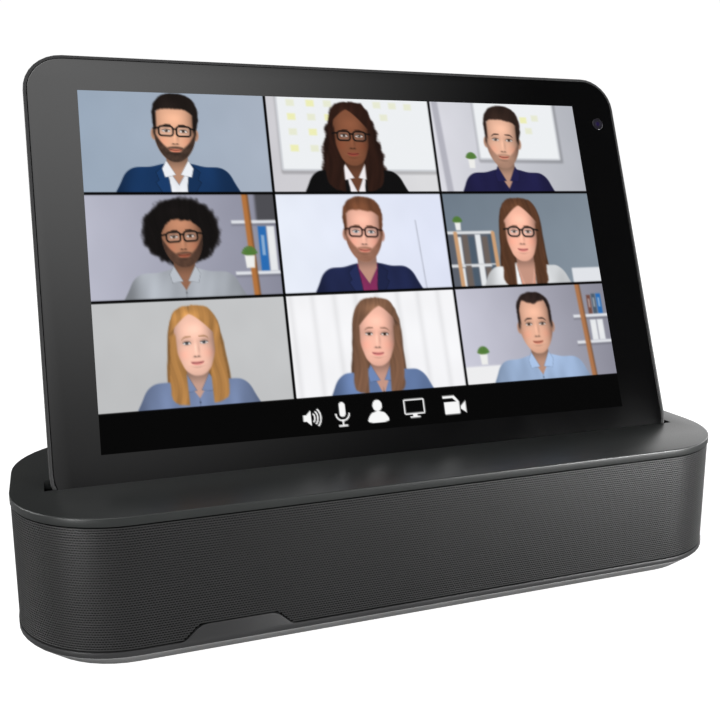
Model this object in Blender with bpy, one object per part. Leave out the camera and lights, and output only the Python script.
"""Smart display: a 10.1-inch tablet that stands in the slot of a speaker dock.

Metres, +Z up, front towards -Y. The origin is on the surface the dock stands on, under the
dock's centre. Tablet pieces are modelled in the tablet's own axes: x along its width, y from
the glass towards its back, z from its foot up along the glass.
"""

import math

import bpy
import bmesh
from mathutils import Vector

# ---------------------------------------------------------------- driving dimensions
CLEARANCE = 0.0003  # left between pieces that touch
TOUCH = 0.00015  # left where two pieces meet in plain view
OVERLAP = 0.0005  # how far shapes sink into each other before a union
REACH = 0.02  # how far a cutter runs past what it cuts

# Tablet
TABLET_WIDTH = 0.2547
TABLET_HEIGHT = 0.1699
TABLET_THICKNESS = 0.0086
TABLET_CORNER = 0.0145
TABLET_WALL = 0.0012
TABLET_BACK_ROUND = 0.003
TABLET_LEAN = math.radians(20.5)
TABLET_SUNK = 0.010  # how much of its height stands in the slot
GLASS_THICKNESS = 0.0009
DISPLAY_WIDTH = 0.2174
DISPLAY_HEIGHT = 0.1376
DISPLAY_BORDER = 0.0025
DISPLAY_THICKNESS = 0.0020
DISPLAY_ABOVE_FOOT = 0.0193
FRAME_THICKNESS = 0.0022
FRAME_INSET = 0.0039  # room for the keys between the frame and the shell's edge
BATTERY_WIDTH = 0.128
BATTERY_HEIGHT = 0.088
BOARD_THICKNESS = 0.0010
BOARD_HEIGHT = 0.036
CHIP_HEIGHT = 0.0009
FRONT_CAMERA_X = 0.1180
FRONT_CAMERA_Z = 0.1482
FRONT_CAMERA_RADIUS = 0.0026
REAR_CAMERA_X = 0.106
REAR_CAMERA_Z = 0.148
REAR_CAMERA_RADIUS = 0.0040
KEY_WIDTH = 0.0028
KEY_PROUD = 0.0005
KEY_LIP = 0.0008  # how far a key reaches past its opening at each end, and how thick it is there
POWER_KEY_LENGTH = 0.010
POWER_KEY_X = 0.086
VOLUME_ROCKER_LENGTH = 0.022
VOLUME_ROCKER_X = 0.060
TABLET_PORT_Z = 0.100
TABLET_SPEAKER_Z = 0.055
TABLET_SPEAKER_LENGTH = 0.026
TABLET_SPEAKER_DEPTH = 0.011
TABLET_SPEAKER_HEIGHT = 0.0032
SPEAKER_HOLE_COUNT = 5
SPEAKER_HOLE_SPACING = 0.004
SPEAKER_HOLE_LENGTH = 0.0024
SPEAKER_HOLE_WIDTH = 0.0012

# USB-C receptacle, the same part in the tablet and in the dock
PORT_WIDTH = 0.0092
PORT_HEIGHT = 0.0033
PORT_DEPTH = 0.0078
PORT_WALL = 0.0003

# Dock
SLOT_END_GAP = 0.0020
SLOT_FRONT_GAP = 0.0004
SLOT_REAR_GAP = 0.0016
DOCK_END_LAND = 0.01125  # dock top between the slot's end and the dock's end
DOCK_DEPTH = 0.098
DOCK_CORNER = 0.0376
SLOT_FROM_FRONT = 0.0347
TOP_PLATE_THICKNESS = 0.003
TRIM_HEIGHT = 0.0019
TRIM_WIDTH = 0.006
BASE_HEIGHT = 0.0054
BASE_FLOOR = 0.0025
BASE_TAPER = 0.0061  # how far the base's underside lies inside its top
BASE_EDGE = 0.0004
BASE_RIM = 0.0084
MESH_SET_BACK = 0.0003
MESH_THICKNESS = 0.0008
WALL_THICKNESS = 0.0020
FLANGE_WIDTH = 0.013
FLANGE_THICKNESS = 0.0020
TAB_CENTRE_X = -0.0705
TAB_BOTTOM_WIDTH = 0.0368
TAB_TOP_WIDTH = 0.0253
TAB_RISE = 0.0052
TAB_THICKNESS = 0.0010
TAB_SHOULDER = 0.0058  # radius of the tab's upper corners
TAB_FILLET = 0.0040  # radius where its sides run out into the trim

FOOT_PROUD = 0.0010
FOOT_RADIUS = 0.007
FOOT_THICKNESS = 0.0015
FOOT_FROM_CORNER_CENTRE = 0.016

# Cradle: the tray under the slot that holds the tablet's foot
CRADLE_WALL = 0.0022
CRADLE_FLANGE = 0.0020
CRADLE_FLANGE_REACH = 0.006
PAD_THICKNESS = 0.0015
CONTACT_BLOCK_WIDTH = 0.030
CONTACT_BLOCK_DEPTH = 0.0050
CONTACT_BLOCK_HEIGHT = 0.0057
CONTACT_STRIP_THICKNESS = 0.0009
PIN_COUNT = 4
PIN_SPACING = 0.0054
PIN_RADIUS = 0.0006
PIN_TRAVEL = 0.0009
PIN_LENGTH = 0.0044

# Loudspeakers, one towards each end behind the front mesh
DRIVER_DIAMETER = 0.036
DRIVER_MARGIN = 0.003
DRIVER_SPACING = 0.130
DRIVER_RIM = 0.0025
DRIVER_RIM_THICKNESS = 0.0018
GASKET_THICKNESS = 0.0008
SURROUND_WIDTH = 0.0030
CONE_TRAVEL = 0.0015
CONE_THICKNESS = 0.0006
COIL_RADIUS = 0.0048
COIL_THICKNESS = 0.0006
MAGNET_THICKNESS = 0.0068
MAGNET_RADIUS = 0.0110

# Boards, rear panel and buttons
PCB_THICKNESS = 0.0016
AMPLIFIER_WIDTH = 0.060
AMPLIFIER_DEPTH = 0.042
AMPLIFIER_X = -0.030
AMPLIFIER_STANDOFF = 0.004
POWER_SOCKET_X = -0.024
REAR_PANEL_WIDTH = 0.080
REAR_PANEL_HEIGHT = 0.016
REAR_PANEL_THICKNESS = 0.0010
REAR_PANEL_CORNER = 0.003
BUTTON_RADIUS = 0.0040
BUTTON_LIP = 0.0012
BUTTON_LIP_THICKNESS = 0.0010
BUTTON_TRAVEL = 0.0008
POWER_BUTTON_X = 0.010
PAIRING_BUTTON_X = 0.026
SWITCH_SIZE = 0.005
SWITCH_HEIGHT = 0.0020
LEAD_DIAMETER = 0.0016

# Fasteners
SCREW_RADIUS = 0.0012
SCREW_HEAD_RADIUS = 0.0023
SCREW_HEAD_HEIGHT = 0.0014
BOSS_RADIUS = 0.0035
BOSS_HEIGHT = 0.008
SCREW_FROM_EDGE = 0.0125

# Facets
CORNER_STEPS = 12
SHELL_CORNER_STEPS = 8
ROUND_STEPS = 24
SMALL_ROUND_STEPS = 12

# ---------------------------------------------------------------- worked out from them
SLOT_HALF_LENGTH = TABLET_WIDTH / 2 + SLOT_END_GAP
HALF_LENGTH = SLOT_HALF_LENGTH + DOCK_END_LAND
HALF_DEPTH = DOCK_DEPTH / 2
CORNER_X = HALF_LENGTH - DOCK_CORNER
CORNER_Y = HALF_DEPTH - DOCK_CORNER

Z_BASE = FOOT_PROUD
Z_BASE_TOP = Z_BASE + BASE_HEIGHT
Z_TRIM = Z_BASE_TOP + CLEARANCE
Z_TRIM_TOP = Z_TRIM + TRIM_HEIGHT
Z_WALL = Z_TRIM_TOP + CLEARANCE
Z_WALL_TOP = Z_WALL + DRIVER_DIAMETER + 2 * DRIVER_MARGIN
Z_PLATE = Z_WALL_TOP + CLEARANCE
Z_DOCK_TOP = Z_PLATE + TOP_PLATE_THICKNESS
Z_FLANGE_TOP = Z_WALL + FLANGE_THICKNESS
Z_DRIVER = Z_WALL + DRIVER_MARGIN + DRIVER_DIAMETER / 2
Z_BOARD = Z_FLANGE_TOP + AMPLIFIER_STANDOFF + CLEARANCE
Z_BOARD_TOP = Z_BOARD + PCB_THICKNESS
Z_SOCKET = Z_BOARD_TOP + CLEARANCE + PORT_HEIGHT / 2

WALL_INSET = MESH_SET_BACK + MESH_THICKNESS + CLEARANCE
INSIDE_INSET = WALL_INSET + WALL_THICKNESS
FLANGE_INSET = INSIDE_INSET + FLANGE_WIDTH
FRONT_INSIDE_Y = -HALF_DEPTH + INSIDE_INSET
REAR_INSIDE_Y = HALF_DEPTH - INSIDE_INSET

SLOT_Y = -HALF_DEPTH + SLOT_FROM_FRONT
LEAN_SIN = math.sin(TABLET_LEAN)
LEAN_COS = math.cos(TABLET_LEAN)
TABLET_FOOT = Vector((0, SLOT_Y - TABLET_SUNK * LEAN_SIN, Z_DOCK_TOP - TABLET_SUNK * LEAN_COS))
TABLET_TURN = (-TABLET_LEAN, 0, 0)
TO_BACK = (-math.pi / 2, 0, 0)  # turns a piece's own Z to +Y
TO_RIGHT = (0, math.pi / 2, 0)  # turns a piece's own Z to +X

PAD_TOP = -CLEARANCE
PAD_BOTTOM = PAD_TOP - PAD_THICKNESS
CRADLE_FLOOR_TOP = PAD_BOTTOM - CLEARANCE
CRADLE_FLOOR = CRADLE_FLOOR_TOP - CRADLE_WALL
CRADLE_FRONT = -SLOT_FRONT_GAP - CRADLE_WALL
CRADLE_BACK = TABLET_THICKNESS + SLOT_REAR_GAP + CRADLE_WALL
CONTACT_Y = TABLET_THICKNESS / 2
CONTACT_TOP = -CLEARANCE - PIN_TRAVEL

SHELL_BACK_INSIDE = TABLET_THICKNESS - TABLET_WALL
DISPLAY_FRONT = GLASS_THICKNESS + TOUCH
DISPLAY_BACK = DISPLAY_FRONT + DISPLAY_THICKNESS
INNER_FRONT = DISPLAY_BACK + 2 * CLEARANCE  # where battery and board start
PORT_Y = (GLASS_THICKNESS + SHELL_BACK_INSIDE) / 2
DISPLAY_CENTRE_Z = DISPLAY_ABOVE_FOOT + DISPLAY_HEIGHT / 2
KEY_Y = (GLASS_THICKNESS + TABLET_THICKNESS - TABLET_BACK_ROUND) / 2
KEY_SEAT = TABLET_HEIGHT - TABLET_WALL - CLEARANCE - KEY_LIP / 2

# ---------------------------------------------------------------- materials
COLOURS = {  # slot: (colour, metallic, roughness)
    "dock_plastic": ((0.030, 0.031, 0.031), 0.0, 0.38),
    "grille": ((0.045, 0.045, 0.046), 0.6, 0.45),
    "base_plastic": ((0.11, 0.11, 0.11), 0.0, 0.5),
    "trim_plastic": ((0.05, 0.05, 0.05), 0.0, 0.4),
    "inner_plastic": ((0.02, 0.02, 0.02), 0.0, 0.6),
    "tablet_plastic": ((0.05, 0.05, 0.052), 0.0, 0.45),
    "cover_glass": ((0.01, 0.01, 0.011), 0.0, 0.05),
    "display": ((0.02, 0.02, 0.025), 0.0, 0.3),
    "lens_glass": ((0.02, 0.015, 0.04), 0.0, 0.05),
    "rubber": ((0.02, 0.02, 0.02), 0.0, 0.9),
    "board": ((0.01, 0.10, 0.04), 0.0, 0.5),
    "battery": ((0.35, 0.36, 0.37), 0.3, 0.4),
    "steel": ((0.55, 0.55, 0.56), 1.0, 0.3),
    "black_steel": ((0.05, 0.05, 0.05), 1.0, 0.4),
    "magnet": ((0.12, 0.12, 0.13), 0.6, 0.5),
    "gold": ((0.85, 0.62, 0.25), 1.0, 0.25),
    "paper_cone": ((0.03, 0.03, 0.032), 0.0, 0.8),
    "wire": ((0.35, 0.03, 0.02), 0.0, 0.5),
}
materials = {}


def make_materials():
    for name, (colour, metallic, roughness) in COLOURS.items():
        material = bpy.data.materials.new(name)
        material.use_nodes = True
        shader = material.node_tree.nodes["Principled BSDF"]
        shader.inputs["Base Color"].default_value = (*colour, 1)
        shader.inputs["Metallic"].default_value = metallic
        shader.inputs["Roughness"].default_value = roughness
        material.diffuse_color = (*colour, 1)
        materials[name] = material


# ---------------------------------------------------------------- shape helpers
def clear_scene():
    for obj in list(bpy.data.objects):
        bpy.data.objects.remove(obj, do_unlink=True)


def add_object(name, mesh_builder, slot=None):
    """Links a new object whose mesh is what mesh_builder holds, with its faces pointing out."""
    bmesh.ops.recalc_face_normals(mesh_builder, faces=mesh_builder.faces)
    mesh = bpy.data.meshes.new(name)
    mesh_builder.to_mesh(mesh)
    mesh_builder.free()
    obj = bpy.data.objects.new(name, mesh)
    bpy.context.scene.collection.objects.link(obj)
    if slot:
        mesh.materials.append(materials[slot])
        mesh.shade_smooth()
        mesh.set_sharp_from_angle(angle=math.radians(35))
    return obj


def axis_empty(name, location, rotation=(0, 0, 0)):
    empty = bpy.data.objects.new(name, None)
    empty.location = location
    empty.rotation_euler = rotation
    bpy.context.scene.collection.objects.link(empty)
    return empty


def place(obj, location=(0, 0, 0), rotation=(0, 0, 0), parent=None):
    obj.location = location
    obj.rotation_euler = rotation
    obj.parent = parent
    return obj


def rounded_rectangle(half_x, half_y, radius, steps=CORNER_STEPS):
    """The points of a rectangle with round corners, centred on the origin, as (x, y) pairs."""
    points = []
    for quarter, (sign_x, sign_y) in enumerate(((1, 1), (-1, 1), (-1, -1), (1, -1))):
        for step in range(steps + 1):
            angle = (quarter + step / steps) * math.pi / 2
            x = sign_x * (half_x - radius) + radius * math.cos(angle)
            y = sign_y * (half_y - radius) + radius * math.sin(angle)
            points.append((x, y))
    return points


def dock_outline(inset):
    return rounded_rectangle(HALF_LENGTH - inset, HALF_DEPTH - inset, DOCK_CORNER - inset)


def level(outline, z):
    """An outline laid flat at a height."""
    return [(x, y, z) for x, y in outline]


def upright(outline, y, centre_z=0.0):
    """An outline stood up in the plane of x and z at a depth."""
    return [(x, y, z + centre_z) for x, z in outline]


def loft(name, slot, rings, closed=False):
    """Skins rings that have the same number of points; capped at both ends unless closed."""
    builder = bmesh.new()
    loops = [[builder.verts.new(point) for point in ring] for ring in rings]
    pairs = list(zip(loops, loops[1:]))
    if closed:
        pairs.append((loops[-1], loops[0]))
    else:
        builder.faces.new(loops[0])
        builder.faces.new(loops[-1])
    for low, high in pairs:
        for i, vertex in enumerate(low):
            after = (i + 1) % len(low)
            builder.faces.new((vertex, low[after], high[after], high[i]))
    return add_object(name, builder, slot)


def dock_ring(name, slot, profile):
    """A closed (inset, z) profile swept once round the dock's outline."""
    return loft(name, slot, [level(dock_outline(inset), z) for inset, z in profile], closed=True)


def turned(name, slot, profile, steps=ROUND_STEPS):
    """A closed (radius, z) profile turned about Z. Points at radius 0 meet on the axis."""
    builder = bmesh.new()
    points = [builder.verts.new((radius, 0, z)) for radius, z in profile]
    edges = [builder.edges.new((a, b)) for a, b in zip(points, points[1:] + points[:1])
             if a.co.x > 0 or b.co.x > 0]
    bmesh.ops.spin(builder, geom=points + edges, cent=(0, 0, 0), axis=(0, 0, 1),
                   angle=2 * math.pi, steps=steps, use_merge=True)
    bmesh.ops.remove_doubles(builder, verts=builder.verts, dist=1e-6)
    return add_object(name, builder, slot)


def cylinder(name, slot, radius, z_low, z_high, steps=SMALL_ROUND_STEPS):
    return turned(name, slot, [(0, z_high), (radius, z_high), (radius, z_low), (0, z_low)], steps)


def box(name, slot, low, high):
    (x0, y0, z0), (x1, y1, z1) = low, high
    outline = [(x0, y0), (x1, y0), (x1, y1), (x0, y1)]
    return loft(name, slot, [level(outline, z0), level(outline, z1)])


def centred_box(name, slot, size, centre=(0, 0, 0)):
    low = [c - s / 2 for c, s in zip(centre, size)]
    high = [c + s / 2 for c, s in zip(centre, size)]
    return box(name, slot, low, high)


def combine(obj, operation, tools):
    """Adds a Boolean for each tool, which stays in the file as a hidden helper."""
    for tool in tools:
        tool.hide_render = True
        tool.display_type = "WIRE"
        modifier = obj.modifiers.new(tool.name, "BOOLEAN")
        modifier.operation = operation
        modifier.object = tool
    return obj


def smooth_path(points, per_span=4):
    """Points along a Catmull-Rom curve through the given ones."""
    knots = [Vector(p) for p in points]
    knots = [2 * knots[0] - knots[1]] + knots + [2 * knots[-1] - knots[-2]]
    path = []
    for a, b, c, d in zip(knots, knots[1:], knots[2:], knots[3:]):
        for step in range(per_span):
            t = step / per_span
            path.append(0.5 * (2 * b + (c - a) * t + (2 * a - 5 * b + 4 * c - d) * t * t
                               + (3 * b - a - 3 * c + d) * t ** 3))
    return path + [knots[-2]]


def lead(name, points):
    """A wire inside the dock: a round tube along a smooth curve."""
    path = smooth_path(points)
    curve = bpy.data.curves.new(name, "CURVE")
    curve.dimensions = "3D"
    curve.bevel_depth = LEAD_DIAMETER / 2
    curve.bevel_resolution = 2
    curve.use_fill_caps = True
    spline = curve.splines.new("POLY")
    spline.points.add(len(path) - 1)
    for point, place_on in zip(spline.points, path):
        point.co = (*place_on, 1)
    curve.materials.append(materials["wire"])
    obj = bpy.data.objects.new(name, curve)
    bpy.context.scene.collection.objects.link(obj)
    return obj


# ---------------------------------------------------------------- fasteners and feet
def corner_places(from_centre_x, from_centre_y):
    """The same offset outwards from the centre of each of the dock's four corners."""
    return [(sign_x * (CORNER_X + from_centre_x), sign_y * (CORNER_Y + from_centre_y))
            for sign_y in (-1, 1) for sign_x in (-1, 1)]


def screw_places():
    corners = corner_places(0, DOCK_CORNER - SCREW_FROM_EDGE)
    return corners + [(-HALF_LENGTH + SCREW_FROM_EDGE, 0), (HALF_LENGTH - SCREW_FROM_EDGE, 0)]


def foot_places():
    offset = FOOT_FROM_CORNER_CENTRE / math.sqrt(2)
    return corner_places(offset, offset)


def board_post_places():
    """The two posts under the amplifier board's front corners."""
    y = REAR_INSIDE_Y - CLEARANCE - AMPLIFIER_DEPTH + BOSS_RADIUS
    half = AMPLIFIER_WIDTH / 2 - BOSS_RADIUS
    return [(AMPLIFIER_X - half, y), (AMPLIFIER_X + half, y)]


def board_rest_places():
    """The two standoffs on the enclosure's flange under the board's rear corners."""
    y = REAR_INSIDE_Y - CLEARANCE - 2 * BOSS_RADIUS
    half = AMPLIFIER_WIDTH / 2 - BOSS_RADIUS
    return [(AMPLIFIER_X - half, y), (AMPLIFIER_X + half, y)]


def make_screw(name, x, y, z_head, length, upwards):
    """A pan-head screw with a cross recess. Its shank runs from the head towards its tip."""
    head = SCREW_HEAD_HEIGHT
    tip = head + length
    profile = [(0, tip), (SCREW_RADIUS, tip - SCREW_RADIUS), (SCREW_RADIUS, head),
               (SCREW_HEAD_RADIUS, head), (SCREW_HEAD_RADIUS, head * 0.3),
               (SCREW_HEAD_RADIUS * 0.8, 0), (0, 0)]
    screw = turned(name, "black_steel", profile, SMALL_ROUND_STEPS)
    turn = (0, 0, 0) if upwards else (math.pi, 0, 0)
    place(screw, (x, y, z_head), turn)
    arm = SCREW_HEAD_RADIUS * 1.1
    slot = SCREW_HEAD_RADIUS * 0.28
    deep = head * 0.5
    cross = [centred_box(name + "_slot_a", None, (arm, slot, 2 * deep)),
             centred_box(name + "_slot_b", None, (slot, arm, 2 * deep))]
    for tool in cross:
        tool.parent = screw
    return combine(screw, "DIFFERENCE", cross)


def make_feet():
    names = ("foot_front_left", "foot_front_right", "foot_rear_left", "foot_rear_right")
    edge = FOOT_THICKNESS / 3
    profile = [(0, FOOT_THICKNESS), (FOOT_RADIUS, FOOT_THICKNESS), (FOOT_RADIUS, edge),
               (FOOT_RADIUS - edge, 0), (0, 0)]
    for name, (x, y) in zip(names, foot_places()):
        place(turned(name, "rubber", profile), (x, y, 0))


def make_base_screws():
    z_head = Z_BASE + CLEARANCE
    length = Z_WALL + BOSS_HEIGHT - 2 * CLEARANCE - OVERLAP - z_head - SCREW_HEAD_HEIGHT
    for number, (x, y) in enumerate(screw_places(), 1):
        make_screw(f"base_screw_{number}", x, y, z_head, length, upwards=True)


# ---------------------------------------------------------------- dock shells
def make_base_plate():
    foot_edge = BASE_TAPER + MESH_SET_BACK * 2
    profile = [(foot_edge, Z_BASE), (MESH_SET_BACK * 2, Z_BASE_TOP - BASE_EDGE),
               (MESH_SET_BACK * 2, Z_BASE_TOP), (MESH_SET_BACK * 2 + BASE_RIM, Z_BASE_TOP),
               (MESH_SET_BACK * 2 + BASE_RIM, Z_BASE + BASE_FLOOR)]
    base = loft("base_plate", "base_plastic",
                [level(dock_outline(inset), z) for inset, z in profile])
    z_post = Z_BOARD - CLEARANCE
    posts = [place(cylinder(f"board_post_{i}", None, BOSS_RADIUS, Z_BASE + OVERLAP, z_post), (x, y, 0))
             for i, (x, y) in enumerate(board_post_places())]
    combine(base, "UNION", posts)
    hole = SCREW_RADIUS + CLEARANCE
    seat = SCREW_HEAD_RADIUS + CLEARANCE
    seat_top = Z_BASE + SCREW_HEAD_HEIGHT + 2 * CLEARANCE
    screw_cut = [(0, Z_BASE + REACH), (hole, Z_BASE + REACH), (hole, seat_top), (seat, seat_top),
                 (seat, Z_BASE - REACH), (0, Z_BASE - REACH)]
    cuts = [place(turned(f"base_screw_hole_{i}", None, screw_cut, SMALL_ROUND_STEPS), (x, y, 0))
            for i, (x, y) in enumerate(screw_places())]
    recess_top = FOOT_THICKNESS + CLEARANCE
    cuts += [place(cylinder(f"foot_recess_{i}", None, FOOT_RADIUS + CLEARANCE, -REACH, recess_top,
                            ROUND_STEPS), (x, y, 0))
             for i, (x, y) in enumerate(foot_places())]
    cuts += [place(cylinder(f"post_hole_{i}", None, hole, z_post - BOSS_HEIGHT, z_post + REACH),
                   (x, y, 0))
             for i, (x, y) in enumerate(board_post_places())]
    return combine(base, "DIFFERENCE", cuts)


def tab_outline(gap=0.0):
    """The tab that rises from the trim: a trapezoid with round shoulders and feet, on z = 0."""
    half_low = TAB_BOTTOM_WIDTH / 2 + gap
    half_high = TAB_TOP_WIDTH / 2 + gap
    rise = TAB_RISE + gap
    slope = math.atan2(rise, half_low - half_high)
    shoulder_x = half_high - TAB_SHOULDER * math.tan(slope / 2)
    fillet_x = half_low + TAB_FILLET * math.tan(slope / 2)
    steps = CORNER_STEPS // 2
    right = []
    for step in range(steps + 1):
        angle = -math.pi / 2 - slope * step / steps
        right.append((fillet_x + TAB_FILLET * math.cos(angle), TAB_FILLET * (1 + math.sin(angle))))
    for step in range(steps + 1):
        angle = (math.pi / 2 - slope) + slope * step / steps
        right.append((shoulder_x + TAB_SHOULDER * math.cos(angle),
                      rise - TAB_SHOULDER * (1 - math.sin(angle))))
    return right + [(-x, z) for x, z in reversed(right)]


def tab_solid(name, gap, y_front, y_back, z_low):
    outline = [(x + TAB_CENTRE_X, z) for x, z in tab_outline(gap)]
    outline = [(outline[0][0], z_low - Z_TRIM_TOP)] + outline + [(outline[-1][0], z_low - Z_TRIM_TOP)]
    return loft(name, None, [upright(outline, y_front, Z_TRIM_TOP),
                             upright(outline, y_back, Z_TRIM_TOP)])


def make_base_trim():
    trim = dock_ring("base_trim", "trim_plastic",
                     [(0, Z_TRIM), (0, Z_TRIM_TOP), (TRIM_WIDTH, Z_TRIM_TOP), (TRIM_WIDTH, Z_TRIM)])
    tab = tab_solid("trim_tab", 0, -HALF_DEPTH, -HALF_DEPTH + TAB_THICKNESS, Z_TRIM + OVERLAP)
    return combine(trim, "UNION", [tab])


def rear_panel_solid(name, slot, gap, y_front, y_back):
    outline = rounded_rectangle(REAR_PANEL_WIDTH / 2 + gap, REAR_PANEL_HEIGHT / 2 + gap,
                                REAR_PANEL_CORNER + gap, CORNER_STEPS // 2)
    return loft(name, slot, [upright(outline, y_front, Z_SOCKET), upright(outline, y_back, Z_SOCKET)])


def rear_openings(name, gap, y_low, y_high):
    """Cutters for the power socket and the two buttons."""
    outline = rounded_rectangle(PORT_WIDTH / 2 + gap, PORT_HEIGHT / 2 + gap, PORT_HEIGHT / 2, 4)
    socket = loft(name + "_socket", None, [upright(outline, y_low), upright(outline, y_high)])
    tools = [place(socket, (POWER_SOCKET_X, 0, Z_SOCKET))]
    for x in (POWER_BUTTON_X, PAIRING_BUTTON_X):
        hole = cylinder(f"{name}_button_{x}", None, BUTTON_RADIUS + gap, y_low, y_high, ROUND_STEPS)
        tools.append(place(hole, (x, 0, Z_SOCKET), TO_BACK))
    return tools


def make_speaker_mesh():
    outer, inner = MESH_SET_BACK, MESH_SET_BACK + MESH_THICKNESS
    mesh = dock_ring("speaker_mesh", "grille",
                     [(outer, Z_WALL), (outer, Z_WALL_TOP), (inner, Z_WALL_TOP), (inner, Z_WALL)])
    notch = tab_solid("mesh_notch", CLEARANCE, -HALF_DEPTH - REACH,
                      -HALF_DEPTH + WALL_INSET, Z_WALL - OVERLAP)
    window = rear_panel_solid("mesh_window", None, CLEARANCE, HALF_DEPTH - WALL_INSET,
                              HALF_DEPTH + REACH)
    return combine(mesh, "DIFFERENCE", [notch, window])


def make_enclosure():
    enclosure = dock_ring("enclosure", "inner_plastic", [
        (WALL_INSET, Z_WALL), (WALL_INSET, Z_WALL_TOP), (INSIDE_INSET, Z_WALL_TOP),
        (INSIDE_INSET, Z_FLANGE_TOP), (FLANGE_INSET, Z_FLANGE_TOP), (FLANGE_INSET, Z_WALL)])
    bosses = [place(cylinder(f"screw_boss_{i}", None, BOSS_RADIUS, Z_WALL + OVERLAP,
                             Z_WALL + BOSS_HEIGHT), (x, y, 0))
              for i, (x, y) in enumerate(screw_places())]
    bosses += [place(cylinder(f"board_rest_{i}", None, BOSS_RADIUS, Z_WALL + OVERLAP,
                              Z_BOARD - CLEARANCE), (x, y, 0))
               for i, (x, y) in enumerate(board_rest_places())]
    combine(enclosure, "UNION", bosses)
    hole = SCREW_RADIUS + CLEARANCE
    cuts = [place(cylinder(f"boss_hole_{i}", None, hole, Z_WALL - REACH,
                           Z_WALL + BOSS_HEIGHT - OVERLAP), (x, y, 0))
            for i, (x, y) in enumerate(screw_places())]
    for x in (-DRIVER_SPACING / 2, DRIVER_SPACING / 2):
        opening = cylinder(f"driver_opening_{x}", None, DRIVER_DIAMETER / 2 - DRIVER_RIM,
                           -WALL_THICKNESS * 2, WALL_THICKNESS, ROUND_STEPS)
        cuts.append(place(opening, (x, FRONT_INSIDE_Y, Z_DRIVER), TO_BACK))
    cuts += rear_openings("enclosure", CLEARANCE, REAR_INSIDE_Y - WALL_THICKNESS, HALF_DEPTH)
    return combine(enclosure, "DIFFERENCE", cuts)


def make_rear_panel():
    y_outer = HALF_DEPTH - MESH_SET_BACK + CLEARANCE / 2
    panel = rear_panel_solid("rear_panel", "dock_plastic", 0, y_outer - REAR_PANEL_THICKNESS, y_outer)
    return combine(panel, "DIFFERENCE", rear_openings("panel", CLEARANCE, 0, HALF_DEPTH + REACH))


# ---------------------------------------------------------------- slot and cradle
def make_top_plate(tablet):
    edge = OVERLAP
    plate = loft("top_plate", "dock_plastic", [
        level(dock_outline(0), Z_PLATE), level(dock_outline(0), Z_DOCK_TOP - edge / 2),
        level(dock_outline(edge / 2), Z_DOCK_TOP)])
    slot = box("slot_cut", None,
               (-SLOT_HALF_LENGTH, -SLOT_FRONT_GAP, TABLET_SUNK - REACH),
               (SLOT_HALF_LENGTH, TABLET_THICKNESS + SLOT_REAR_GAP, TABLET_SUNK + REACH))
    return combine(plate, "DIFFERENCE", [place(slot, parent=tablet)])


def make_cradle(tablet):
    """A leaning tray cut off level under the top plate, with a flange along its middle."""
    half = SLOT_HALF_LENGTH + CRADLE_WALL
    tray = box("cradle", "inner_plastic", (-half, CRADLE_FRONT, CRADLE_FLOOR),
               (half, CRADLE_BACK, TABLET_SUNK + REACH / 2))
    place(tray, parent=tablet)
    flange_front = SLOT_Y + CRADLE_FRONT / LEAN_COS - CRADLE_FLANGE_REACH
    flange_back = SLOT_Y + CRADLE_BACK / LEAN_COS + CRADLE_FLANGE_REACH
    flange = box("cradle_flange", None, (-CORNER_X, flange_front, Z_WALL_TOP - CRADLE_FLANGE),
                 (CORNER_X, flange_back, Z_WALL_TOP + CRADLE_FLANGE))
    combine(tray, "UNION", [flange])
    above = box("cradle_top_cut", None, (-2 * half, -DOCK_DEPTH, Z_WALL_TOP),
                (2 * half, DOCK_DEPTH, Z_WALL_TOP + 2 * REACH))
    pocket = box("cradle_pocket", None, (-SLOT_HALF_LENGTH, -SLOT_FRONT_GAP, CRADLE_FLOOR_TOP),
                 (SLOT_HALF_LENGTH, TABLET_THICKNESS + SLOT_REAR_GAP, TABLET_SUNK + REACH))
    window = contact_window("cradle_window", tablet)
    return combine(tray, "DIFFERENCE", [above, place(pocket, parent=tablet), window])


def contact_window(name, tablet):
    size = (CONTACT_BLOCK_WIDTH + 2 * CLEARANCE, CONTACT_BLOCK_DEPTH + 2 * CLEARANCE, 2 * REACH)
    return place(centred_box(name, None, size), (0, CONTACT_Y, 0), parent=tablet)


def make_cradle_pad(tablet):
    inside = CLEARANCE
    pad = box("cradle_pad", "rubber",
              (-SLOT_HALF_LENGTH + inside, -SLOT_FRONT_GAP + inside, PAD_BOTTOM),
              (SLOT_HALF_LENGTH - inside, TABLET_THICKNESS + SLOT_REAR_GAP - inside, PAD_TOP))
    place(pad, parent=tablet)
    return combine(pad, "DIFFERENCE", [contact_window("pad_window", tablet)])


def pin_places():
    first = -(PIN_COUNT - 1) * PIN_SPACING / 2
    return [first + i * PIN_SPACING for i in range(PIN_COUNT)]


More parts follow.
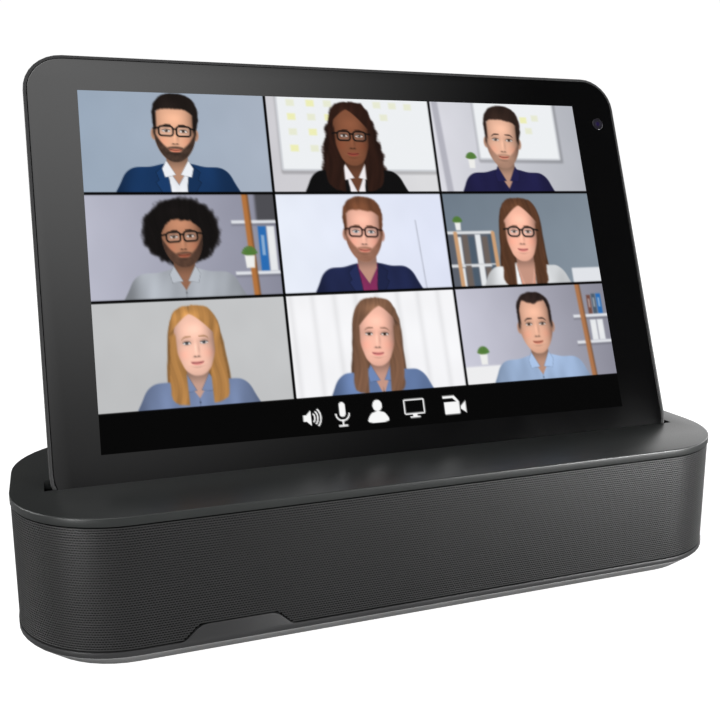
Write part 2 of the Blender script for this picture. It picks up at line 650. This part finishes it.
def make_contacts(tablet):
    """The block of spring pins under the tablet's foot, and the strip they press on."""
    low = CONTACT_TOP - CONTACT_BLOCK_HEIGHT
    block = box("contact_block", "inner_plastic",
                (-CONTACT_BLOCK_WIDTH / 2, CONTACT_Y - CONTACT_BLOCK_DEPTH / 2, low),
                (CONTACT_BLOCK_WIDTH / 2, CONTACT_Y + CONTACT_BLOCK_DEPTH / 2, CONTACT_TOP))
    place(block, parent=tablet)
    holes = []
    for number, x in enumerate(pin_places(), 1):
        hole = cylinder(f"pin_hole_{number}", None, PIN_RADIUS + CLEARANCE, low - REACH,
                        CONTACT_TOP + REACH)
        holes.append(place(hole, (x, CONTACT_Y, 0), parent=tablet))
        tip = PIN_RADIUS * 0.6
        profile = [(0, 0), (PIN_RADIUS - tip / 2, 0), (PIN_RADIUS, -tip),
                   (PIN_RADIUS, -PIN_LENGTH), (0, -PIN_LENGTH)]
        pin = turned(f"contact_pin_{number}", "gold", profile, SMALL_ROUND_STEPS)
        place(pin, (x, CONTACT_Y, -CLEARANCE), parent=tablet)
    combine(block, "DIFFERENCE", holes)
    strip = centred_box("contact_strip", "gold",
                        (CONTACT_BLOCK_WIDTH, CONTACT_BLOCK_DEPTH - CLEARANCE,
                         CONTACT_STRIP_THICKNESS),
                        (0, CONTACT_Y, CONTACT_STRIP_THICKNESS / 2))
    place(strip, parent=tablet)


# ---------------------------------------------------------------- loudspeakers
def driver_profiles():
    """The turned profiles of one driver, as (radius, depth behind the wall's inner face)."""
    outer = DRIVER_DIAMETER / 2
    opening = outer - DRIVER_RIM
    gasket_front = CLEARANCE
    gasket_back = gasket_front + GASKET_THICKNESS
    frame_front = gasket_back + CLEARANCE
    rim_back = frame_front + DRIVER_RIM_THICKNESS
    cradle_front_y = SLOT_Y + (CRADLE_FLOOR - TABLET_SUNK) * LEAN_SIN + CRADLE_FRONT * LEAN_COS
    magnet_back = cradle_front_y - FRONT_INSIDE_Y - DRIVER_MARGIN - 2 * CLEARANCE
    magnet_front = magnet_back - MAGNET_THICKNESS
    basket_back = magnet_front - CLEARANCE
    wall = CONE_THICKNESS * 2
    coil_room = 2 * CLEARANCE
    coil_hole = COIL_RADIUS + coil_room
    gasket = [(opening, gasket_front), (opening, gasket_back), (outer, gasket_back),
              (outer, gasket_front)]
    frame = [(opening, frame_front), (opening, rim_back + wall),
             (MAGNET_RADIUS - wall, basket_back - wall),
             (coil_hole, basket_back - wall), (coil_hole, basket_back), (MAGNET_RADIUS, basket_back),
             (opening + wall, rim_back), (outer, rim_back), (outer, frame_front)]
    surround_outer = opening - CLEARANCE
    surround_inner = surround_outer - SURROUND_WIDTH
    cone_edge = surround_inner - CLEARANCE
    roll_middle = (surround_outer + surround_inner) / 2
    roll = SURROUND_WIDTH / 2
    front_arc = [(roll_middle + roll * math.cos(a), rim_back - roll * 0.8 * math.sin(a))
                 for a in [math.pi * k / 4 for k in range(5)]]
    back_arc = [(r, d + CONE_THICKNESS) for r, d in reversed(front_arc)]
    surround = front_arc + back_arc
    cone_front = rim_back
    neck = magnet_front - CONE_TRAVEL - 2 * CONE_THICKNESS - coil_room
    coil_back = magnet_front + MAGNET_THICKNESS / 2
    cap_radius = COIL_RADIUS + CONE_THICKNESS
    dome = [(cap_radius * math.cos(a), neck - cap_radius * 0.45 * math.sin(a))
            for a in [math.pi / 2 * k / 3 for k in range(4)]]
    dome[-1] = (0, dome[-1][1])
    cone = dome[::-1] + [(cone_edge, cone_front), (cone_edge, cone_front + CONE_THICKNESS),
                         (COIL_RADIUS, neck + CONE_THICKNESS), (COIL_RADIUS, coil_back),
                         (COIL_RADIUS - COIL_THICKNESS, coil_back),
                         (COIL_RADIUS - COIL_THICKNESS, neck + CONE_THICKNESS), (0, neck + CONE_THICKNESS)]
    gap_inner = COIL_RADIUS - COIL_THICKNESS - coil_room
    gap_back = coil_back + CONE_TRAVEL + coil_room
    magnet = [(coil_hole, magnet_front), (coil_hole, gap_back), (gap_inner, gap_back),
              (gap_inner, magnet_front), (0, magnet_front), (0, magnet_back),
              (MAGNET_RADIUS, magnet_back), (MAGNET_RADIUS, magnet_front)]
    return {"gasket": ("rubber", gasket), "frame": ("black_steel", frame),
            "surround": ("rubber", surround), "cone": ("paper_cone", cone),
            "magnet": ("magnet", magnet)}


def make_drivers():
    for side, x in (("left", -DRIVER_SPACING / 2), ("right", DRIVER_SPACING / 2)):
        for part, (slot, profile) in driver_profiles().items():
            piece = turned(f"driver_{part}_{side}", slot, profile)
            place(piece, (x, FRONT_INSIDE_Y, Z_DRIVER), TO_BACK)


# ---------------------------------------------------------------- electronics and buttons
def port_shell(name):
    """A receptacle along Z with its mouth at z = 0: a metal sleeve round a plastic tongue."""
    radius = PORT_HEIGHT / 2
    outline = rounded_rectangle(PORT_WIDTH / 2, PORT_HEIGHT / 2, radius * 0.98, 4)
    shell = loft(name, "steel", [level(outline, -PORT_DEPTH), level(outline, 0)])
    hollow = rounded_rectangle(PORT_WIDTH / 2 - PORT_WALL, PORT_HEIGHT / 2 - PORT_WALL,
                               (radius - PORT_WALL) * 0.98, 4)
    inside = loft(name + "_inside", None, [level(hollow, -PORT_DEPTH + 2 * PORT_WALL), level(hollow, REACH)])
    tongue = centred_box(name + "_tongue", None, (PORT_WIDTH * 0.7, PORT_HEIGHT * 0.22, PORT_DEPTH * 0.8),
                         (0, 0, -PORT_DEPTH + 2 * PORT_WALL + PORT_DEPTH * 0.8 / 2 - PORT_WALL))
    for tool in (inside, tongue):
        tool.parent = shell
    combine(shell, "DIFFERENCE", [inside])
    return combine(shell, "UNION", [tongue])


def make_amplifier_board():
    rear = REAR_INSIDE_Y - CLEARANCE
    board = box("amplifier_board", "board",
                (AMPLIFIER_X - AMPLIFIER_WIDTH / 2, rear - AMPLIFIER_DEPTH, Z_BOARD),
                (AMPLIFIER_X + AMPLIFIER_WIDTH / 2, rear, Z_BOARD_TOP))
    front = rear - AMPLIFIER_DEPTH
    size = AMPLIFIER_DEPTH / 5
    low = Z_BOARD_TOP - OVERLAP
    chips = [box("amplifier_chip", None, (AMPLIFIER_X - size, front + size, low),
                 (AMPLIFIER_X + size, front + 2.4 * size, Z_BOARD_TOP + 2 * CHIP_HEIGHT)),
             box("radio_chip", None, (AMPLIFIER_X + 1.5 * size, front + 2 * size, low),
                 (AMPLIFIER_X + 2.5 * size, front + 3 * size, Z_BOARD_TOP + CHIP_HEIGHT))]
    chips += [place(cylinder(f"capacitor_{i}", None, size / 2.4, low, Z_BOARD_TOP + size),
                    (AMPLIFIER_X - 2 * size, front + (1.6 + i * 1.1) * size, 0)) for i in range(2)]
    combine(board, "UNION", chips)
    holes = [place(cylinder(f"board_hole_{i}", None, SCREW_RADIUS + CLEARANCE, Z_BOARD - REACH / 2,
                            Z_BOARD + REACH), (x, y, 0))
             for i, (x, y) in enumerate(board_post_places())]
    combine(board, "DIFFERENCE", holes)
    z_head = Z_BOARD_TOP + CLEARANCE + SCREW_HEAD_HEIGHT
    length = BOSS_HEIGHT - OVERLAP
    for side, (x, y) in zip(("left", "right"), board_post_places()):
        make_screw(f"board_screw_{side}", x, y, z_head, length, upwards=False)


def make_power_socket():
    socket = port_shell("power_socket")
    place(socket, (POWER_SOCKET_X, HALF_DEPTH - MESH_SET_BACK - CLEARANCE, Z_SOCKET), TO_BACK)


def make_dock_buttons():
    """Each button slides in along Y, so its own Z, which points out, is turned to +Y."""
    lip_back = REAR_INSIDE_Y - CLEARANCE
    cap_front = HALF_DEPTH - MESH_SET_BACK
    lip_radius = BUTTON_RADIUS + BUTTON_LIP
    cap = cap_front - lip_back
    edge = CLEARANCE
    profile = [(0, cap), (BUTTON_RADIUS - edge, cap), (BUTTON_RADIUS, cap - edge),
               (BUTTON_RADIUS, 0), (lip_radius, 0), (lip_radius, -BUTTON_LIP_THICKNESS),
               (0, -BUTTON_LIP_THICKNESS)]
    places = (("dock_power_button", POWER_BUTTON_X), ("pairing_button", PAIRING_BUTTON_X))
    for name, x in places:
        place(turned(name, "dock_plastic", profile), (x, lip_back, Z_SOCKET), TO_BACK)
    switch_front = lip_back - BUTTON_LIP_THICKNESS - BUTTON_TRAVEL - CLEARANCE
    board_front = switch_front - SWITCH_HEIGHT
    board_back = board_front - PCB_THICKNESS
    margin = SWITCH_SIZE
    board = box("button_board", "board",
                (POWER_BUTTON_X - margin, board_back, Z_FLANGE_TOP + CLEARANCE),
                (PAIRING_BUTTON_X + margin, board_front, Z_SOCKET + margin))
    half = SWITCH_SIZE / 2
    switches = [box(f"switch_{x}", None, (x - half, board_front - OVERLAP, Z_SOCKET - half),
                    (x + half, switch_front, Z_SOCKET + half)) for _, x in places]
    combine(board, "UNION", switches)


def make_leads(tablet):
    board_front = REAR_INSIDE_Y - CLEARANCE - AMPLIFIER_DEPTH
    z_floor = Z_FLANGE_TOP + LEAD_DIAMETER
    z_board = Z_BOARD_TOP + LEAD_DIAMETER / 2 + CLEARANCE
    basket_y = FRONT_INSIDE_Y + FLANGE_WIDTH
    for side, sign in (("left", -1), ("right", 1)):
        driver_x = sign * DRIVER_SPACING / 2
        end_x = AMPLIFIER_X + sign * AMPLIFIER_WIDTH / 4
        lead(f"speaker_lead_{side}", [
            (driver_x, basket_y + LEAD_DIAMETER, z_floor),
            (driver_x - sign * 0.008, basket_y + 0.006, z_floor + 0.0005),
            ((2 * driver_x + end_x) / 3, (basket_y + board_front) / 2 - 0.002, z_floor + 0.001),
            ((driver_x + 2 * end_x) / 3, board_front - 0.006, z_board - 0.0012),
            (end_x, board_front - 0.003, z_board),
            (end_x, board_front + 0.003, z_board)])
    block_bottom = tablet @ Vector((0, CONTACT_Y, CONTACT_TOP - CONTACT_BLOCK_HEIGHT))
    below = block_bottom - Vector((0, 0, LEAD_DIAMETER / 2 + 2 * CLEARANCE))
    lead("contact_lead", [
        below, below + Vector((0, -0.001, -0.004)),
        ((AMPLIFIER_X + below.x) / 3, (below.y + board_front) / 2 - 0.002, (below.z + z_board) / 2),
        (AMPLIFIER_X, board_front - 0.003, z_board + 0.002),
        (AMPLIFIER_X - 0.001, board_front + 0.003, z_board)])


# ---------------------------------------------------------------- tablet
def tablet_outline(inset):
    radius = max(TABLET_CORNER - inset, TABLET_WALL)
    return rounded_rectangle(TABLET_WIDTH / 2 - inset, TABLET_HEIGHT / 2 - inset, radius,
                             SHELL_CORNER_STEPS)


def tablet_loft(name, slot, profile, closed=False):
    """Skins (inset, depth) sections of the tablet's outline from the glass towards the back."""
    return loft(name, slot, [upright(tablet_outline(inset), y, TABLET_HEIGHT / 2)
                             for inset, y in profile], closed)


def centred_rectangle(name, slot, width, height, centre_x, centre_z, y_front, y_back):
    return box(name, slot, (centre_x - width / 2, y_front, centre_z - height / 2),
               (centre_x + width / 2, y_back, centre_z + height / 2))


def key_cut(name, length, x):
    size = (length + 2 * CLEARANCE, KEY_WIDTH + 2 * CLEARANCE, 4 * TABLET_WALL)
    return centred_box(name, None, size, (x, KEY_Y, TABLET_HEIGHT))


def make_tablet_shell(tablet):
    round_steps = 4
    back = [(TABLET_BACK_ROUND * (1 - math.cos(a)),
             TABLET_THICKNESS - TABLET_BACK_ROUND * (1 - math.sin(a)))
            for a in [math.pi / 2 * k / round_steps for k in range(round_steps + 1)]]
    inner = TABLET_BACK_ROUND - TABLET_WALL
    hollow = [(TABLET_WALL + inner * (1 - math.cos(a)),
               SHELL_BACK_INSIDE - inner * (1 - math.sin(a)))
              for a in [math.pi / 2 * k / 2 for k in range(3)]]
    edge = CLEARANCE
    profile = hollow[::-1] + [(TABLET_WALL, 0), (edge, 0), (0, edge)] + back
    shell = place(tablet_loft("tablet_shell", "tablet_plastic", profile), parent=tablet)
    port = rounded_rectangle(PORT_WIDTH / 2 + CLEARANCE, PORT_HEIGHT / 2 + CLEARANCE,
                             PORT_HEIGHT / 2, 4)
    port_cut = loft("shell_port_cut", None, [level(port, -REACH / 4), level(port, REACH)])
    right = TABLET_WIDTH / 2
    cuts = [
        place(port_cut, (right, PORT_Y, TABLET_PORT_Z), TO_RIGHT),
        key_cut("shell_power_cut", POWER_KEY_LENGTH, POWER_KEY_X),
        key_cut("shell_volume_cut", VOLUME_ROCKER_LENGTH, VOLUME_ROCKER_X),
        place(cylinder("shell_camera_cut", None, REAR_CAMERA_RADIUS + CLEARANCE,
                       SHELL_BACK_INSIDE - OVERLAP, TABLET_THICKNESS + REACH, ROUND_STEPS),
              (REAR_CAMERA_X, 0, REAR_CAMERA_Z), TO_BACK),
        centred_box("shell_contact_cut", None,
                    (CONTACT_BLOCK_WIDTH + 2 * CLEARANCE, CONTACT_BLOCK_DEPTH + CLEARANCE,
                     2 * TABLET_WALL + CLEARANCE), (0, CONTACT_Y, 0)),
    ]
    for i in range(SPEAKER_HOLE_COUNT):
        z = TABLET_SPEAKER_Z + (i - (SPEAKER_HOLE_COUNT - 1) / 2) * SPEAKER_HOLE_SPACING
        size = (4 * TABLET_WALL, SPEAKER_HOLE_WIDTH, SPEAKER_HOLE_LENGTH)
        cuts.append(centred_box(f"shell_speaker_cut_{i}", None, size, (right, PORT_Y, z)))
    for cut in cuts:
        cut.parent = tablet
    return combine(shell, "DIFFERENCE", cuts)


def make_tablet_front(tablet):
    gap = TABLET_WALL + TOUCH
    edge = TOUCH
    place(tablet_loft("cover_glass", "cover_glass",
                      [(gap + edge, 0), (gap, edge), (gap, GLASS_THICKNESS)]), parent=tablet)
    width = DISPLAY_WIDTH + 2 * DISPLAY_BORDER
    height = DISPLAY_HEIGHT + 2 * DISPLAY_BORDER
    panel = centred_rectangle("display_panel", "display", width, height, 0, DISPLAY_CENTRE_Z,
                              DISPLAY_FRONT, DISPLAY_BACK)
    place(panel, parent=tablet)
    frame = tablet_loft("mid_frame", "black_steel", [
        (FRAME_INSET, DISPLAY_FRONT), (FRAME_INSET, DISPLAY_FRONT + FRAME_THICKNESS)])
    place(frame, parent=tablet)
    window = centred_rectangle("frame_window", None, width + 2 * CLEARANCE,
                               height + 2 * CLEARANCE, 0, DISPLAY_CENTRE_Z, 0, REACH)
    camera = cylinder("frame_camera_hole", None, FRONT_CAMERA_RADIUS + CLEARANCE, 0, REACH)
    place(camera, (FRONT_CAMERA_X, 0, FRONT_CAMERA_Z), TO_BACK)
    right = TABLET_WIDTH / 2
    notches = [box(f"frame_{name}_notch", None,
                   (right - depth - 2 * CLEARANCE, 0, z - length / 2 - CLEARANCE),
                   (right, REACH, z + length / 2 + CLEARANCE))
               for name, depth, length, z in (
                   ("port", PORT_DEPTH, PORT_WIDTH, TABLET_PORT_Z),
                   ("speaker", TABLET_WALL + TABLET_SPEAKER_DEPTH, TABLET_SPEAKER_LENGTH, TABLET_SPEAKER_Z))]
    cuts = [window, camera] + notches
    for cut in cuts:
        cut.parent = tablet
    combine(frame, "DIFFERENCE", cuts)


def make_tablet_cameras(tablet):
    lens = FRONT_CAMERA_RADIUS * 0.7
    depth = FRAME_THICKNESS + CHIP_HEIGHT
    front = turned("front_camera", "lens_glass", [
        (0, 0), (lens * 0.6, 0), (lens, CLEARANCE), (FRONT_CAMERA_RADIUS, CLEARANCE),
        (FRONT_CAMERA_RADIUS, depth), (0, depth)], SMALL_ROUND_STEPS)
    place(front, (FRONT_CAMERA_X, DISPLAY_FRONT, FRONT_CAMERA_Z), TO_BACK, tablet)
    window_front = TABLET_THICKNESS - TABLET_WALL
    window = cylinder("rear_camera_window", "lens_glass", REAR_CAMERA_RADIUS, window_front,
                      TABLET_THICKNESS, ROUND_STEPS)
    place(window, (REAR_CAMERA_X, 0, REAR_CAMERA_Z), TO_BACK, tablet)
    module_back = window_front - CLEARANCE
    module = cylinder("rear_camera", "black_steel", REAR_CAMERA_RADIUS - CLEARANCE, INNER_FRONT + CLEARANCE,
                      module_back)
    place(module, (REAR_CAMERA_X, 0, REAR_CAMERA_Z), TO_BACK, tablet)


def make_tablet_inside(tablet):
    back = SHELL_BACK_INSIDE - CLEARANCE
    battery_low = DISPLAY_ABOVE_FOOT + DISPLAY_BORDER
    battery = centred_rectangle("tablet_battery", "battery", BATTERY_WIDTH, BATTERY_HEIGHT, 0,
                                battery_low + BATTERY_HEIGHT / 2, INNER_FRONT, back)
    place(battery, parent=tablet)
    frame_top = TABLET_HEIGHT - FRAME_INSET
    board_low = battery_low + BATTERY_HEIGHT + DISPLAY_BORDER
    board_high = min(board_low + BOARD_HEIGHT, frame_top)
    board_left = -BATTERY_WIDTH / 2
    board_right = REAR_CAMERA_X - REAR_CAMERA_RADIUS - DISPLAY_BORDER
    board = box("tablet_board", "board", (board_left, INNER_FRONT, board_low),
                (board_right, INNER_FRONT + BOARD_THICKNESS, board_high))
    place(board, parent=tablet)
    chip = (board_high - board_low) / 4
    chips = []
    for i in range(3):
        x = board_left + (2 + 3 * i) * chip
        chips.append(box(f"tablet_chip_{i}", None,
                         (x, INNER_FRONT + BOARD_THICKNESS - OVERLAP, board_low + chip),
                         (x + (1 + i % 2) * chip, INNER_FRONT + BOARD_THICKNESS + CHIP_HEIGHT,
                          board_low + 2 * chip)))
        place(chips[-1], parent=tablet)
    combine(board, "UNION", chips)
    port = port_shell("tablet_port")
    place(port, (TABLET_WIDTH / 2 - CLEARANCE, PORT_Y, TABLET_PORT_Z),
          TO_RIGHT, tablet)
    right = TABLET_WIDTH / 2 - TABLET_WALL - CLEARANCE
    speaker = centred_rectangle("tablet_speaker", "inner_plastic", TABLET_SPEAKER_DEPTH,
                                TABLET_SPEAKER_LENGTH, right - TABLET_SPEAKER_DEPTH / 2,
                                TABLET_SPEAKER_Z, GLASS_THICKNESS + CLEARANCE,
                                GLASS_THICKNESS + CLEARANCE + TABLET_SPEAKER_HEIGHT)
    place(speaker, parent=tablet)


def make_tablet_keys(tablet):
    """Each key is made about its own centre behind the wall, where its joint is."""
    reach = TABLET_WALL + CLEARANCE + KEY_LIP / 2 + KEY_PROUD
    for name, length, x in (("power_key", POWER_KEY_LENGTH, POWER_KEY_X),
                            ("volume_rocker", VOLUME_ROCKER_LENGTH, VOLUME_ROCKER_X)):
        outline = rounded_rectangle(length / 2, KEY_WIDTH / 2, KEY_WIDTH * 0.4, 4)
        edge = KEY_PROUD / 2
        crown = rounded_rectangle(length / 2 - edge, KEY_WIDTH / 2 - edge, KEY_WIDTH * 0.4 - edge, 4)
        key = loft(name, "tablet_plastic", [level(outline, 0), level(outline, reach - edge),
                                            level(crown, reach)])
        lip = centred_box(name + "_lip", None, (length + 2 * KEY_LIP, KEY_WIDTH, KEY_LIP))
        lip.parent = key
        combine(key, "UNION", [lip])
        place(key, (x, KEY_Y, KEY_SEAT), parent=tablet)
    flex_top = KEY_SEAT - KEY_LIP / 2 - 3 * CLEARANCE
    left = VOLUME_ROCKER_X - VOLUME_ROCKER_LENGTH / 2
    right = POWER_KEY_X + POWER_KEY_LENGTH / 2
    flex = box("key_flex", "board", (left, KEY_Y - KEY_WIDTH / 2, flex_top - CLEARANCE),
               (right, KEY_Y + KEY_WIDTH / 2, flex_top))
    place(flex, parent=tablet)


def main():
    clear_scene()
    make_materials()
    tablet = axis_empty("tablet_axes", TABLET_FOOT, TABLET_TURN)
    bpy.context.view_layer.update()
    make_feet()
    make_base_plate()
    make_base_screws()
    make_base_trim()
    make_enclosure()
    make_speaker_mesh()
    make_rear_panel()
    make_top_plate(tablet)
    make_cradle(tablet)
    make_cradle_pad(tablet)
    make_contacts(tablet)
    make_drivers()
    make_amplifier_board()
    make_power_socket()
    make_dock_buttons()
    make_leads(tablet.matrix_world)
    make_tablet_shell(tablet)
    make_tablet_front(tablet)
    make_tablet_cameras(tablet)
    make_tablet_inside(tablet)
    make_tablet_keys(tablet)


main()
